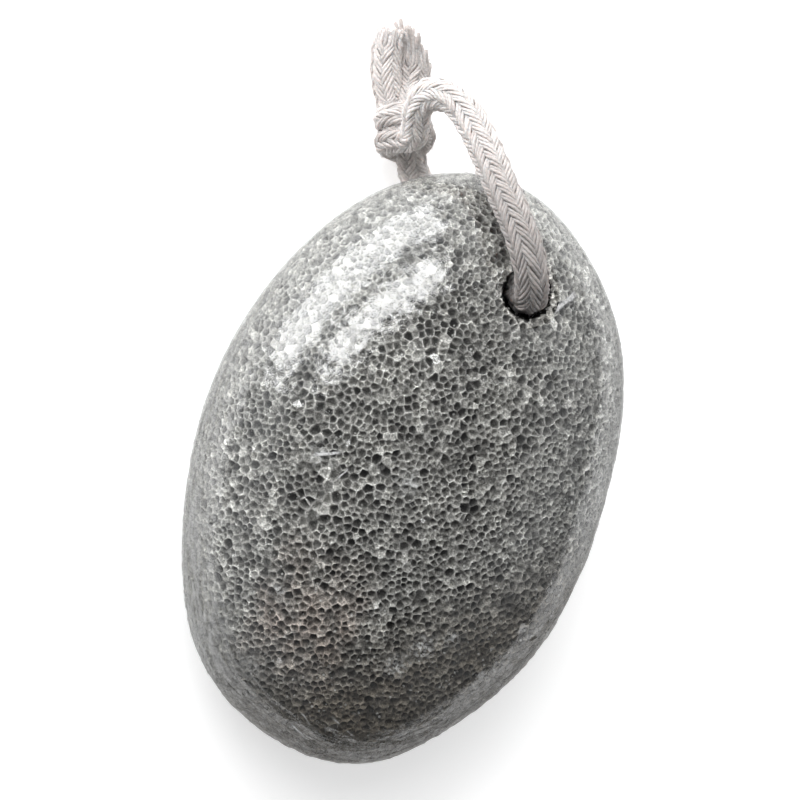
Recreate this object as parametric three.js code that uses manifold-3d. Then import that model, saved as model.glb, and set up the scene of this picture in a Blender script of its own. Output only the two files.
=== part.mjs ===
// Pumice bath stone on a cotton hanging cord, lying on its flat.
//
// One oval pebble of foamed stone, drilled through near one end, in a clear
// shrink-film skin that is open round both mouths of the hole. A single length
// of braided cotton cord goes through the hole; its two ends are tied together
// in one knot just past the end of the stone, and two short cut tails lie
// beyond the knot.
//
// Millimetres, +Z up. The origin is on the resting surface, under the middle
// of the stone. +Y runs along the stone towards the cord, +X across it.

import * as THREE from 'three';
import { mergeVertices } from 'three/addons/utils/BufferGeometryUtils.js';
import Module from 'manifold-3d';

// ---------------------------------------------------------------- dimensions

// Stone: half sizes of the oval across, along and up.
const STONE_HALF_WIDTH = 33.1;
const STONE_HALF_LENGTH = 48.8;
const STONE_HALF_HEIGHT = 20.2;
const STONE_CENTRE_HEIGHT = 19.8;      // over the resting surface
const STONE_SQUARENESS = 2.06;         // 2 is a true ellipse in side view
const STONE_DETAIL = 10;               // subdivisions of the base icosahedron

// Hand-shaped outline: small departures from a true oval, as [order, cos, sin].
const OUTLINE_MEAN = 0.997;
const OUTLINE_WAVES = [
  [2, 0.0082, 0],
  [4, -0.0023, 0],
  [5, -0.0011, 0.0012],
  [6, -0.0015, -0.0055],
  [7, -0.0045, -0.0022],
];

// Film skin: clearance to the stone, then its own thickness.
const FILM_GAP = 0.3;
const FILM_THICKNESS = 0.3;
const FILM_OPENING_RADIUS = 5.4;

// Drilled hole: a point on its axis at the upper mouth, its direction, radius.
const HOLE_POINT = new THREE.Vector3(5.31, 32.83, 35.0);
const HOLE_DIRECTION = new THREE.Vector3(-1.2, 3.8, -29.5).normalize();
const HOLE_RADIUS = 4.0;
const HOLE_SIDES = 28;

// Cord.
const CORD_RADIUS = 2.75;
const CORD_SIDES = 10;
const CORD_STEP = 3.0;

// Knot: centre and half sizes of its outer shape.
const KNOT_CENTRE = [-15.7, 52.0, 7.3];
const KNOT_HALF = [5.7, 5.2, 7.0];

// Route of the cord, from the front of the knot, over the end of the stone,
// down the hole, and back along the resting surface to the back of the knot.
const LOOP_ROUTE = [
  [-15.78, 51.47, 14.27], [-16.6, 53.05, 16.02], [-17.43, 54.8, 17.59], [-17.47, 56.71, 19.16],
  [-16.11, 58.09, 20.66], [-14.13, 58.16, 22.12], [-12.27, 57.16, 23.44], [-10.65, 55.74, 24.7],
  [-9.21, 54.17, 25.99], [-7.89, 52.52, 27.32], [-6.67, 50.81, 28.67], [-5.53, 49.1, 30.09],
  [-4.43, 47.42, 31.58], [-3.36, 45.77, 33.11], [-2.27, 44.12, 34.64], [-1.15, 42.45, 36.12],
  [0.03, 40.7, 37.45], [1.29, 38.81, 38.48], [2.69, 36.79, 38.66], [4.06, 34.94, 37.73],
  [5.14, 33.54, 35.99], [5.53, 32.99, 33.62], [5.35, 33.22, 31.15], [5.04, 33.66, 28.71],
  [4.85, 34.04, 26.25], [4.77, 34.34, 23.77], [4.73, 34.62, 21.29], [4.67, 34.91, 18.81],
  [4.58, 35.22, 16.34], [4.46, 35.54, 13.87], [4.35, 35.88, 11.39], [4.17, 36.28, 8.94],
  [3.64, 36.9, 6.59], [2.51, 37.91, 4.62], [0.84, 39.25, 3.38], [-1.14, 40.72, 3.01],
  [-3.27, 42.02, 3.03], [-5.54, 43.06, 3.02], [-7.84, 44.01, 2.97], [-10.01, 45.24, 3.09],
  [-11.66, 46.96, 3.74], [-13.0, 48.67, 4.97],
];

// The two cut tails, from inside the knot to their ends.
const TAIL_LEFT_ROUTE = [
  [-17.6, 53.6, 3.6], [-18.61, 55.51, 2.95], [-19.84, 57.67, 2.98], [-20.99, 59.89, 3.0],
  [-21.84, 62.23, 3.0], [-22.42, 64.66, 3.0], [-22.79, 67.13, 3.0],
];
const TAIL_RIGHT_ROUTE = [
  [-15.46, 52.54, 6.45], [-15.89, 54.86, 5.68], [-15.97, 57.07, 4.51], [-16.07, 59.31, 3.42],
  [-16.57, 61.69, 2.93], [-17.41, 64.04, 2.89], [-18.41, 66.33, 2.91], [-19.48, 68.58, 2.9],
];

// ------------------------------------------------------------------- helpers

const wasm = await Module();
wasm.setup();

// A closed three.js geometry as a solid, with its shared vertices merged.
function solidOf(geometry) {
  const g = geometry.clone();
  g.deleteAttribute('normal');
  g.deleteAttribute('uv');
  const merged = mergeVertices(g, 1e-4);
  return new wasm.Manifold(new wasm.Mesh({
    numProp: 3,
    vertProperties: new Float32Array(merged.attributes.position.array),
    triVerts: new Uint32Array(merged.index.array),
  }));
}

// The solid back as a geometry that can be drawn.
function geometryOf(solid) {
  const mesh = solid.getMesh();
  const g = new THREE.BufferGeometry();
  const n = mesh.vertProperties.length / mesh.numProp;
  const positions = new Float32Array(n * 3);
  for (let i = 0; i < n; i++) {
    for (let k = 0; k < 3; k++) positions[3 * i + k] = mesh.vertProperties[mesh.numProp * i + k];
  }
  g.setAttribute('position', new THREE.BufferAttribute(positions, 3));
  g.setIndex(new THREE.BufferAttribute(new Uint32Array(mesh.triVerts), 1));
  const clean = mergeVertices(g, 1e-4);
  clean.computeVertexNormals();
  return clean;
}

function outline(angle) {
  let f = OUTLINE_MEAN;
  for (const [order, c, s] of OUTLINE_WAVES) {
    f += c * Math.cos(order * angle) + s * Math.sin(order * angle);
  }
  return f;
}

// The pebble's closed surface, grown outwards by a clearance.
function pebble(grow) {
  const g = new THREE.IcosahedronGeometry(1, STONE_DETAIL);
  const p = g.attributes.position;
  const d = new THREE.Vector3();
  for (let i = 0; i < p.count; i++) {
    d.fromBufferAttribute(p, i).normalize();
    const angle = Math.atan2(d.y, d.x);
    const flat = Math.hypot(d.x, d.y);
    const q = Math.pow(Math.pow(flat, STONE_SQUARENESS) + Math.pow(Math.abs(d.z), STONE_SQUARENESS),
      1 / STONE_SQUARENESS);
    const f = outline(angle) * flat / q;
    p.setXYZ(i,
      (STONE_HALF_WIDTH + grow) * f * Math.cos(angle),
      (STONE_HALF_LENGTH + grow) * f * Math.sin(angle),
      STONE_CENTRE_HEIGHT + (STONE_HALF_HEIGHT + grow) * d.z / q);
  }
  return solidOf(g);
}

// Everything below a height, to cut the flat that the pebble rests on.
function below(height) {
  const depth = 30;
  const g = new THREE.BoxGeometry(160, 160, depth);
  g.translate(0, 0, height - depth / 2);
  return solidOf(g);
}

// A round drill along the hole's axis, long enough to pass both faces.
function drill(radius) {
  const g = new THREE.CylinderGeometry(radius, radius, 90, HOLE_SIDES, 1);
  const turn = new THREE.Quaternion().setFromUnitVectors(
    new THREE.Vector3(0, -1, 0), HOLE_DIRECTION);
  g.applyQuaternion(turn);
  const middle = HOLE_POINT.clone().addScaledVector(HOLE_DIRECTION, 15);
  g.translate(middle.x, middle.y, middle.z);
  return solidOf(g);
}

// A round cord along a route, with closed ends.
function cordAlong(route) {
  const curve = new THREE.CatmullRomCurve3(
    route.map((p) => new THREE.Vector3(...p)), false, 'centripetal');
  const steps = Math.max(4, Math.round(curve.getLength() / CORD_STEP));
  const section = new THREE.Shape();
  for (let i = 0; i < CORD_SIDES; i++) {
    const a = 2 * Math.PI * i / CORD_SIDES;
    const x = CORD_RADIUS * Math.cos(a);
    const y = CORD_RADIUS * Math.sin(a);
    if (i === 0) section.moveTo(x, y); else section.lineTo(x, y);
  }
  section.closePath();
  return solidOf(new THREE.ExtrudeGeometry(section, {
    steps, bevelEnabled: false, extrudePath: curve, curveSegments: 1,
  }));
}

function knotShape() {
  const g = new THREE.SphereGeometry(1, 16, 12);
  g.rotateX(Math.PI / 2);
  g.scale(...KNOT_HALF);
  g.translate(...KNOT_CENTRE);
  return solidOf(g);
}

function part(name, geometry, material) {
  const mesh = new THREE.Mesh(geometry, material);
  mesh.name = name;
  return mesh;
}

// --------------------------------------------------------------------- build

// The stone: the pebble, its resting flat cut off, drilled through.
const filmSkin = FILM_GAP + FILM_THICKNESS;
const stoneSolid = pebble(0).subtract(below(filmSkin)).subtract(drill(HOLE_RADIUS));

// The film: the grown pebble less a slightly smaller one, open at both mouths.
const filmSolid = pebble(filmSkin).subtract(below(0))
  .subtract(pebble(FILM_GAP).subtract(below(FILM_THICKNESS)))
  .subtract(drill(FILM_OPENING_RADIUS));

// The cord: loop, knot and the two tails, one length.
const cordSolid = cordAlong(LOOP_ROUTE)
  .add(knotShape())
  .add(cordAlong(TAIL_LEFT_ROUTE))
  .add(cordAlong(TAIL_RIGHT_ROUTE));

const group = new THREE.Group();
group.name = 'pumice_stone';

group.add(part('stone', geometryOf(stoneSolid), new THREE.MeshStandardMaterial({
  color: new THREE.Color(0.42, 0.43, 0.41), roughness: 0.92, metalness: 0,
})));
group.add(part('shrink_film', geometryOf(filmSolid), new THREE.MeshStandardMaterial({
  color: new THREE.Color(0.95, 0.96, 0.97), roughness: 0.12, metalness: 0, transparent: true, opacity: 0.15,
})));
group.add(part('cord', geometryOf(cordSolid), new THREE.MeshStandardMaterial({
  color: new THREE.Color(0.85, 0.81, 0.78), roughness: 0.95, metalness: 0,
})));

export default group;
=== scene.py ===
import math
import random
import time

import bmesh
import bpy
import numpy as np
from mathutils import Matrix, Vector, kdtree, noise


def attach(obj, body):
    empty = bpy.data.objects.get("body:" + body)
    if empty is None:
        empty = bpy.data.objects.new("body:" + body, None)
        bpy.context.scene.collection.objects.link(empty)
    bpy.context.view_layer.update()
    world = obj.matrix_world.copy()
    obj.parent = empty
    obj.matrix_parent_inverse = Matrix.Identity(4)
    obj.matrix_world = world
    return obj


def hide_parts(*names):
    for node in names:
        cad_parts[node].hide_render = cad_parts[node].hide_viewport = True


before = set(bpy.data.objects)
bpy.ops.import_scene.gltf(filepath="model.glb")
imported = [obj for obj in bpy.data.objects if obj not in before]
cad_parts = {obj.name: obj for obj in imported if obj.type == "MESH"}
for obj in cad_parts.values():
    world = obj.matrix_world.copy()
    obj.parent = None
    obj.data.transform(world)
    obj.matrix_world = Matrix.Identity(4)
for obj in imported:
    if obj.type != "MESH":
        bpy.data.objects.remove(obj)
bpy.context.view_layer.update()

T0 = time.time()
MM = 0.001
SEED = 20


def say(*words):
    print("[scene %.1fs]" % (time.time() - T0), *words)


# ------------------------------------------------------------------ the shape
# The stone's outer shape, in millimetres, as the model has it.
HALF_X, HALF_Y, HALF_Z, MID_Z, SQUARE = 33.1, 48.8, 20.2, 19.8, 2.06
WAVES = [(2, 0.0082, 0.0), (4, -0.0023, 0.0), (5, -0.0011, 0.0012), (6, -0.0015, -0.0055), (7, -0.0045, -0.0022)]
HOLE_POINT = np.array([5.31, 32.83, 35.0])
HOLE_DIR = np.array([-1.2, 3.8, -29.5]) / np.linalg.norm([-1.2, 3.8, -29.5])
HOLE_R = 4.0
RIM = 0.50        # how far the cell rims stand over the plain solid
FILM_OUT = 0.70   # the film's outer face over the plain solid
FLOOR_RIM = 0.14  # height of the rims at the resting flat
FILM_FLOOR = 0.0


def outline(e):
    f = np.full_like(e, 0.997)
    for n, c, s in WAVES:
        f = f + c * np.cos(n * e) + s * np.sin(n * e)
    return f


def level(p, off):
    """1 on the surface grown by off, below 1 inside it."""
    e = np.arctan2(p[:, 1] / HALF_Y, p[:, 0] / HALF_X)
    f = outline(e)
    rho = np.hypot(p[:, 0] / ((HALF_X + off) * f), p[:, 1] / ((HALF_Y + off) * f))
    return (rho ** SQUARE + np.abs((p[:, 2] - MID_Z) / (HALF_Z + off)) ** SQUARE) ** (1 / SQUARE)


def to_surface(p, off=0.0, passes=2):
    c = np.array([0, 0, MID_Z])
    p = p.copy()
    for _ in range(passes):
        p = c + (p - c) / level(p, off)[:, None]
    return p


def normals_at(p, off=0.0):
    h = 0.02
    g = np.stack([level(p + np.eye(3)[k] * h, off) - level(p - np.eye(3)[k] * h, off) for k in range(3)], 1)
    return g / np.linalg.norm(g, axis=1)[:, None]


def depth_under(p, off):
    """Distance in millimetres under the surface grown by off, about."""
    g = level(p, off)
    h = 0.02
    grad = np.stack([level(p + np.eye(3)[k] * h, off) - level(p - np.eye(3)[k] * h, off) for k in range(3)], 1) / (2 * h)
    return (1 - g) / np.maximum(np.linalg.norm(grad, axis=1), 1e-6)


# ------------------------------------------------------------------ the cells
def coarse(z):
    """Cells are a little larger on the underside."""
    return 1 + 0.45 * np.clip((9 - z) / 5, 0, 1)


def cell_centres(n, rng):
    """Centres and sizes of the foam's cells, spread evenly over the stone."""
    a, b, c = HALF_X, HALF_Y, HALF_Z
    pts = []
    top = b * a
    while sum(len(q) for q in pts) < n:
        d = rng.normal(size=(n * 3, 3))
        d /= np.linalg.norm(d, axis=1)[:, None]
        w = np.sqrt((b * c * d[:, 0]) ** 2 + (a * c * d[:, 1]) ** 2 + (a * b * d[:, 2]) ** 2) / top
        w = w / coarse(MID_Z + c * d[:, 2]) ** 2
        pts.append(d[rng.random(len(d)) < w])
    d = np.concatenate(pts)[:n]
    p = to_surface(d * [a, b, c] + [0, 0, MID_Z])
    # sizes: many small, a few big
    r = np.exp(rng.normal(math.log(0.49), 0.31, n))
    r = np.clip(r, 0.24, 0.95)
    big = rng.random(n) < 0.03
    r[big] *= 1.30
    r = r * coarse(p[:, 2])
    steps = 34
    for step in range(steps):
        if step % 5 == 0:
            tree = kdtree.KDTree(n)
            for i in range(n):
                tree.insert(p[i], i)
            tree.balance()
            ii, jj = [], []
            for i in range(n):
                for _, j, _ in tree.find_range(p[i], r[i] + 1.25):
                    if j > i:
                        ii.append(i)
                        jj.append(j)
            ii, jj = np.array(ii), np.array(jj)
        v = p[jj] - p[ii]
        dist = np.linalg.norm(v, axis=1)
        want = (r[ii] + r[jj]) * 1.06
        over = np.maximum(0, want - dist)
        k = (0.42 * over / np.maximum(dist, 1e-4))[:, None] * v
        share = (r[jj] / (r[ii] + r[jj]))[:, None]
        move = np.zeros_like(p)
        for axis in range(3):
            move[:, axis] = np.bincount(jj, (k * (1 - share))[:, axis], n) - np.bincount(ii, (k * share)[:, axis], n)
        size = np.linalg.norm(move, axis=1)
        move *= np.minimum(1, 0.5 / np.maximum(size, 1e-6))[:, None]
        p = to_surface(p + move, 0.0, 1)
    return p, r


def triangulate(p, r):
    """A weighted Delaunay triangulation of points on the stone's surface."""
    e = np.arctan2(p[:, 1] / HALF_Y, p[:, 0] / HALF_X)
    f = outline(e)
    q = np.stack([p[:, 0] / (HALF_X * f), p[:, 1] / (HALF_Y * f), (p[:, 2] - MID_Z) / HALF_Z], 1)
    q /= np.linalg.norm(q, axis=1)[:, None]
    bm = bmesh.new()
    for v in q:
        bm.verts.new(v)
    bm.verts.ensure_lookup_table()
    bm.verts.index_update()
    bmesh.ops.convex_hull(bm, input=bm.verts)
    tris = []
    for face in bm.faces:
        a, b, c = (v.index for v in face.verts)
        n = np.cross(q[b] - q[a], q[c] - q[a])
        tris.append([a, b, c] if n @ q[a] > 0 else [a, c, b])
    bm.free()
    w = (0.60 * r) ** 2
    P = [tuple(x) for x in p]
    W = w.tolist()
    he = {}
    for t, (a, b, c) in enumerate(tris):
        he[(a, b)] = t
        he[(b, c)] = t
        he[(c, a)] = t
    todo = [k for k in he if k[0] < k[1]]
    flips = 0
    seen = 0
    while todo and seen < 400000:
        seen += 1
        a, b = todo.pop()
        t0 = he.get((a, b))
        t1 = he.get((b, a))
        if t0 is None or t1 is None:
            continue
        c = next(x for x in tris[t0] if x != a and x != b)
        d = next(x for x in tris[t1] if x != a and x != b)
        pa, pb, pc, pd = P[a], P[b], P[c], P[d]
        e1 = (pb[0] - pa[0], pb[1] - pa[1], pb[2] - pa[2])
        ec = (pc[0] - pa[0], pc[1] - pa[1], pc[2] - pa[2])
        ed = (pd[0] - pa[0], pd[1] - pa[1], pd[2] - pa[2])
        L = math.sqrt(e1[0] ** 2 + e1[1] ** 2 + e1[2] ** 2)
        u = (e1[0] / L, e1[1] / L, e1[2] / L)
        cd = (pc[0] - pd[0], pc[1] - pd[1], pc[2] - pd[2])
        s = cd[0] * u[0] + cd[1] * u[1] + cd[2] * u[2]
        v = (cd[0] - s * u[0], cd[1] - s * u[1], cd[2] - s * u[2])
        lv = math.sqrt(v[0] ** 2 + v[1] ** 2 + v[2] ** 2)
        if lv < 1e-9:
            continue
        v = (v[0] / lv, v[1] / lv, v[2] / lv)
        cx = ec[0] * u[0] + ec[1] * u[1] + ec[2] * u[2]
        cy = ec[0] * v[0] + ec[1] * v[1] + ec[2] * v[2]
        dx = ed[0] * u[0] + ed[1] * u[1] + ed[2] * u[2]
        dy = ed[0] * v[0] + ed[1] * v[1] + ed[2] * v[2]
        if cy <= 1e-6 or dy >= -1e-6:
            continue
        ox = (L * L - W[b] + W[a]) / (2 * L)
        oy = (cx * cx + cy * cy - W[c] + W[a] - 2 * cx * ox) / (2 * cy)
        pw_a = ox * ox + oy * oy - W[a]
        pw_d = (ox - dx) ** 2 + (oy - dy) ** 2 - W[d]
        if pw_d >= pw_a - 1e-7:
            continue
        # the flipped edge has to cross a-b inside it
        x = dx + (cx - dx) * (-dy) / (cy - dy)
        if x <= 0.02 * L or x >= 0.98 * L:
            continue
        if (c, d) in he or (d, c) in he:
            continue
        tris[t0] = [a, d, c]
        tris[t1] = [d, b, c]
        del he[(a, b)], he[(b, a)]
        he[(a, d)] = t0
        he[(d, c)] = t0
        he[(c, a)] = t0
        he[(d, b)] = t1
        he[(b, c)] = t1
        he[(c, d)] = t1
        flips += 1
        for k in ((a, d), (d, b), (b, c), (c, a)):
            todo.append(k if k[0] < k[1] else (k[1], k[0]))
    say("flips", flips, "tests", seen)
    return tris, he, w


def rings(n, tris, he):
    """For each cell, the triangles round it in order."""
    first = {}
    for t, (a, b, c) in enumerate(tris):
        for x in (a, b, c):
            first.setdefault(x, t)
    out = []
    for i in range(n):
        if i not in first:
            out.append([])
            continue
        t = start = first[i]
        ring = []
        while True:
            ring.append(t)
            tri = tris[t]
            k = tri.index(i)
            c = tri[(k + 2) % 3]
            t = he[(i, c)]
            if t == start or len(ring) > 40:
                break
        out.append(ring)
    return out


def corners_of(p, tris, w):
    """Where the cells' walls meet: one corner for each triangle."""
    T = np.array(tris)
    A, B, C = p[T[:, 0]], p[T[:, 1]], p[T[:, 2]]
    u = B - A
    L = np.linalg.norm(u, axis=1)
    u = u / L[:, None]
    ac = C - A
    cx = (ac * u).sum(1)
    v = ac - cx[:, None] * u
    cy = np.linalg.norm(v, axis=1)
    v = v / np.maximum(cy, 1e-6)[:, None]
    ox = (L * L - w[T[:, 1]] + w[T[:, 0]]) / (2 * L)
    oy = (cx * cx + cy * cy - w[T[:, 2]] + w[T[:, 0]] - 2 * cx * ox) / (2 * np.maximum(cy, 1e-3))
    mid = (A + B + C) / 3
    o = A + ox[:, None] * u + oy[:, None] * v
    # a corner far outside its triangle comes back
    far = np.linalg.norm(o - mid, axis=1)
    lim = 0.62 * np.max([L, np.linalg.norm(C - B, axis=1), np.linalg.norm(C - A, axis=1)], axis=0)
    k = np.minimum(1, lim / np.maximum(far, 1e-6))
    o = mid + (o - mid) * k[:, None]
    return to_surface(o, 0.0)


def build_cells():
    rng = np.random.default_rng(SEED)
    p, r = cell_centres(10450, rng)
    say("cells placed")
    n = len(p)
    for again in range(2):
        tris, he, w = triangulate(p, r)
        ring = rings(n, tris, he)
        corner = corners_of(p, tris, w)
        if again == 0:
            # each centre moves towards the middle of its cell
            q = p.copy()
            for i in range(n):
                if len(ring[i]) >= 3:
                    q[i] += 0.7 * (corner[ring[i]].mean(0) - p[i])
            p = to_surface(q, 0.0)
    say("cells joined", len(tris))
    return p, r, ring, corner, rng


CELLS = build_cells()
say("cells ready")


def mesh_object(name, verts, faces, smooth=True):
    me = bpy.data.meshes.new(name)
    me.from_pydata([tuple(v) for v in verts], [], faces)
    me.update()
    if smooth:
        me.polygons.foreach_set("use_smooth", np.ones(len(me.polygons), bool))
    o = bpy.data.objects.new(name, me)
    bpy.context.scene.collection.objects.link(o)
    return o


def co_of(o):
    co = np.empty(len(o.data.vertices) * 3)
    o.data.vertices.foreach_get("co", co)
    return co.reshape(-1, 3)


def set_co(o, co):
    o.data.vertices.foreach_set("co", co.reshape(-1).astype(np.float32))
    o.data.update()


def attribute(o, name, values):
    a = o.data.attributes.get(name) or o.data.attributes.new(name, "FLOAT", "POINT")
    a.data.foreach_set("value", np.asarray(values, np.float32))


def settle(p, n, off, deep, floor):
    """Points at a depth under the surface grown by off, with the flat cut at a height."""
    q = p + n * (np.zeros(len(p)) + off)[:, None]
    t = np.clip((floor + 0.25 - q[:, 2]) / 0.5, 0, 1)[:, None]
    t = t * t * (3 - 2 * t)
    q[:, 2] = np.maximum(q[:, 2], floor)
    m = n * (1 - t) + np.array([0, 0, -1.0]) * t
    m /= np.linalg.norm(m, axis=1)[:, None]
    return q - m * np.asarray(deep)[:, None]


def carve(o, cutter):
    mod = o.modifiers.new("cut", "BOOLEAN")
    mod.operation = "DIFFERENCE"
    mod.solver = "MANIFOLD"
    mod.object = cutter
    dg = bpy.context.evaluated_depsgraph_get()
    me = bpy.data.meshes.new_from_object(o.evaluated_get(dg))
    o.modifiers.clear()
    old = o.data
    o.data = me
    me.name = o.name
    bpy.data.meshes.remove(old)


def shed(o, fewest=100):
    """Takes away crumbs that a cut has left loose."""
    bm = bmesh.new()
    bm.from_mesh(o.data)
    seen, loose = set(), []
    for first in bm.verts:
        if first in seen:
            continue
        seen.add(first)
        part, at = [first], 0
        while at < len(part):
            for e in part[at].link_edges:
                v = e.other_vert(part[at])
                if v not in seen:
                    seen.add(v)
                    part.append(v)
            at += 1
        if len(part) < fewest:
            loose += part
    bmesh.ops.delete(bm, geom=loose, context="VERTS")
    bm.to_mesh(o.data)
    bm.free()


def drop(o):
    me = o.data
    bpy.data.objects.remove(o)
    bpy.data.meshes.remove(me)


def drill_object(radius, around, along, rough, seed, span=(-12, 46), shift=(0, 0, 0), dome=0.0):
    """A closed drill along the hole, its wall roughened like cut foam."""
    rng = np.random.default_rng(seed)
    z = HOLE_DIR
    x = np.cross(z, [0, 1.0, 0]); x /= np.linalg.norm(x)
    y = np.cross(z, x)
    s = np.linspace(span[0], span[1], along)
    verts, faces = [], []
    for i in range(along):
        for k in range(around):
            a = 2 * math.pi * (k + 0.5 * (i % 2)) / around
            rr = radius + rough * max(rng.normal(), -0.6) * 0.5
            if dome:
                rr *= math.sqrt(max(0.01, 1 - (max(0.0, s[i] - span[1] + dome) / dome) ** 2))
            verts.append(HOLE_POINT + np.array(shift) + z * s[i] + (x * math.cos(a) + y * math.sin(a)) * rr)
    for i in range(along - 1):
        for k in range(around):
            k2 = (k + 1) % around
            a, b = i * around + k, i * around + k2
            c, d = (i + 1) * around + k2, (i + 1) * around + k
            if i % 2 == 0:
                faces += [(a, b, d), (b, c, d)]
            else:
                faces += [(a, b, c), (a, c, d)]
    faces.append(tuple(range(around))[::-1])
    faces.append(tuple((along - 1) * around + k for k in range(around)))
    o = mesh_object("drill", np.array(verts) * MM, faces)
    bm = bmesh.new()
    bm.from_mesh(o.data)
    bmesh.ops.recalc_face_normals(bm, faces=bm.faces)
    bm.to_mesh(o.data)
    bm.free()
    return o


# ------------------------------------------------------------------ the stone
def build_stone():
    p, r, ring, corner, rng = CELLS
    n = len(p)
    rng = np.random.default_rng(SEED + 1)
    nc = len(corner)
    cn = normals_at(corner)
    # corners: the tops of the walls, some walls broken down between two cells
    deep_c = np.clip(rng.normal(0, 0.05, nc), -0.10, 0.12)
    for i in range(n):
        t = ring[i]
        if len(t) >= 4 and rng.random() < 0.27:
            k = rng.integers(len(t))
            low = rng.uniform(0.20, 0.60)
            deep_c[t[k]] += low
            deep_c[t[(k + 1) % len(t)]] += low * rng.uniform(0.7, 1.0)
    deep_c = np.clip(deep_c, -0.10, 0.62)
    V = [settle(corner, cn, RIM, deep_c, FLOOR_RIM)]
    faces = []
    base = nc
    pos, dep, tone = [], [], []
    size = np.zeros(n)
    for i in range(n):
        t = ring[i]
        m = len(t)
        if m < 3:
            continue
        c = corner[t]
        g = c.mean(0)
        d = c - g
        nxt = np.roll(c, -1, 0)
        e = nxt - c
        el = np.linalg.norm(e, axis=1)
        cr = np.linalg.norm(np.cross(d, e), axis=1)
        ap = float((cr / np.maximum(el, 1e-3) * el).sum() / max(el.sum(), 1e-3))
        size[i] = ap
        u = rng.random()
        deep = ap * rng.uniform(0.95, 1.65) + 0.10
        if u < (0.42 if ap < 0.36 else 0.12):
            deep *= 0.36
        elif u > 0.86:
            deep *= 1.45
        deep = min(deep, 1.7)
        dl = np.maximum(np.linalg.norm(d, axis=1), 1e-4)
        reach = np.minimum(dl * rng.uniform(0.66, 0.78), ap * rng.uniform(0.80, 0.95))
        jit = rng.normal(0, 0.07 * ap, (m, 3))
        in2 = g + d * (reach / dl)[:, None] + jit
        mid = g + rng.normal(0, 0.15 * ap, 3)
        pos += [in2, mid[None]]
        low = np.maximum(deep_c[t], 0)
        dep += [np.maximum(deep * rng.uniform(0.42, 0.72, m), low * 0.8 + 0.1), [max(deep, low.max() + 0.1)]]
        dark = np.clip(rng.normal(1.16, 0.24), 0.6, 1.8)
        if rng.random() < 0.22:
            dark = rng.uniform(0.25, 0.60)
        tone += list(dark * np.clip(rng.normal(1.0, 0.22, m + 1), 0.5, 1.6))
        b2, b3 = base, base + m
        for k in range(m):
            k2 = (k + 1) % m
            faces.append((t[k], t[k2], b2 + k2, b2 + k))
            faces.append((b2 + k, b2 + k2, b3))
        base += m + 1
    pos = np.concatenate(pos)
    dep = np.concatenate([np.asarray(x, float) for x in dep])
    pos = to_surface(pos, 0.0)
    nn = normals_at(pos)
    V.append(settle(pos, nn, RIM, dep, FLOOR_RIM))
    verts = np.concatenate(V)
    o = mesh_object("stone_foam", verts * MM, faces)
    attribute(o, "tone", np.concatenate([np.clip(rng.normal(1.0, 0.34, nc), 0.35, 1.8), tone]))
    say("stone", len(verts), len(faces))
    cutter = drill_object(HOLE_R + 0.12, 44, 70, 0.35, 5)
    carve(o, cutter)
    drop(cutter)
    # the mouth's edge has crumbled on one side
    cutter = drill_object(HOLE_R - 0.05, 46, 64, 0.36, 6, (-12, 1.5), (-0.75, -0.20, 0.0), 2.2)
    carve(o, cutter)
    drop(cutter)
    shed(o)
    co = co_of(o) / MM
    # depth under the rims, which the material paints as shade in the cells
    d = np.minimum(depth_under(co, RIM), np.maximum(co[:, 2] - FLOOR_RIM, 0) * 1.0)
    q = co - HOLE_POINT
    bore = np.linalg.norm(q - (q @ HOLE_DIR)[:, None] * HOLE_DIR, axis=1) - HOLE_R
    bore = (bore > -0.7) & (bore < np.where(np.abs(q[:, 2]) < 3, 1.1, 0.7))
    # the bore's wall is set shallow at random, so the hole is painted paler: painted light in its shade
    pale = np.where(q[:, 2] > -6, 0.15, 0.50)
    d = np.where(bore & (d > 0.25), np.random.default_rng(3).uniform(0.0, 1.0, len(d)) * pale, d)
    attribute(o, "deep", np.clip(d, -0.1, 2.0))
    tris = sum(len(q.vertices) - 2 for q in o.data.polygons)
    say("stone carved", len(o.data.vertices), "tris", tris)
    return o, size


STONE, CELL_SIZE = build_stone()


# ------------------------------------------------------------------ materials
# Single wrinkles in the film, drawn as painted glints: two ends, half width, strength.
WRINKLES = [
    ((10.05, 31.19, 34.87), (13.55, 35.45, 31.74), 0.55, 1.0),
    ((-19.14, -2.42, 37.26), (-15.42, -0.67, 38.60), 0.28, 1.0),
    ((-14.78, -4.68, 38.66), (-13.50, -2.31, 39.10), 0.20, 1.0),
    ((-5.35, -41.36, 30.48), (-0.24, -44.07, 29.05), 0.32, 0.8),
    ((-0.76, -40.29, 31.85), (4.80, -42.56, 30.21), 0.30, 0.7),
    ((1.92, -38.53, 32.97), (8.84, -40.68, 30.67), 0.28, 0.6),
    ((-5.79, -43.60, 28.49), (-2.16, -45.35, 27.47), 0.30, 0.8),
]


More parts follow.
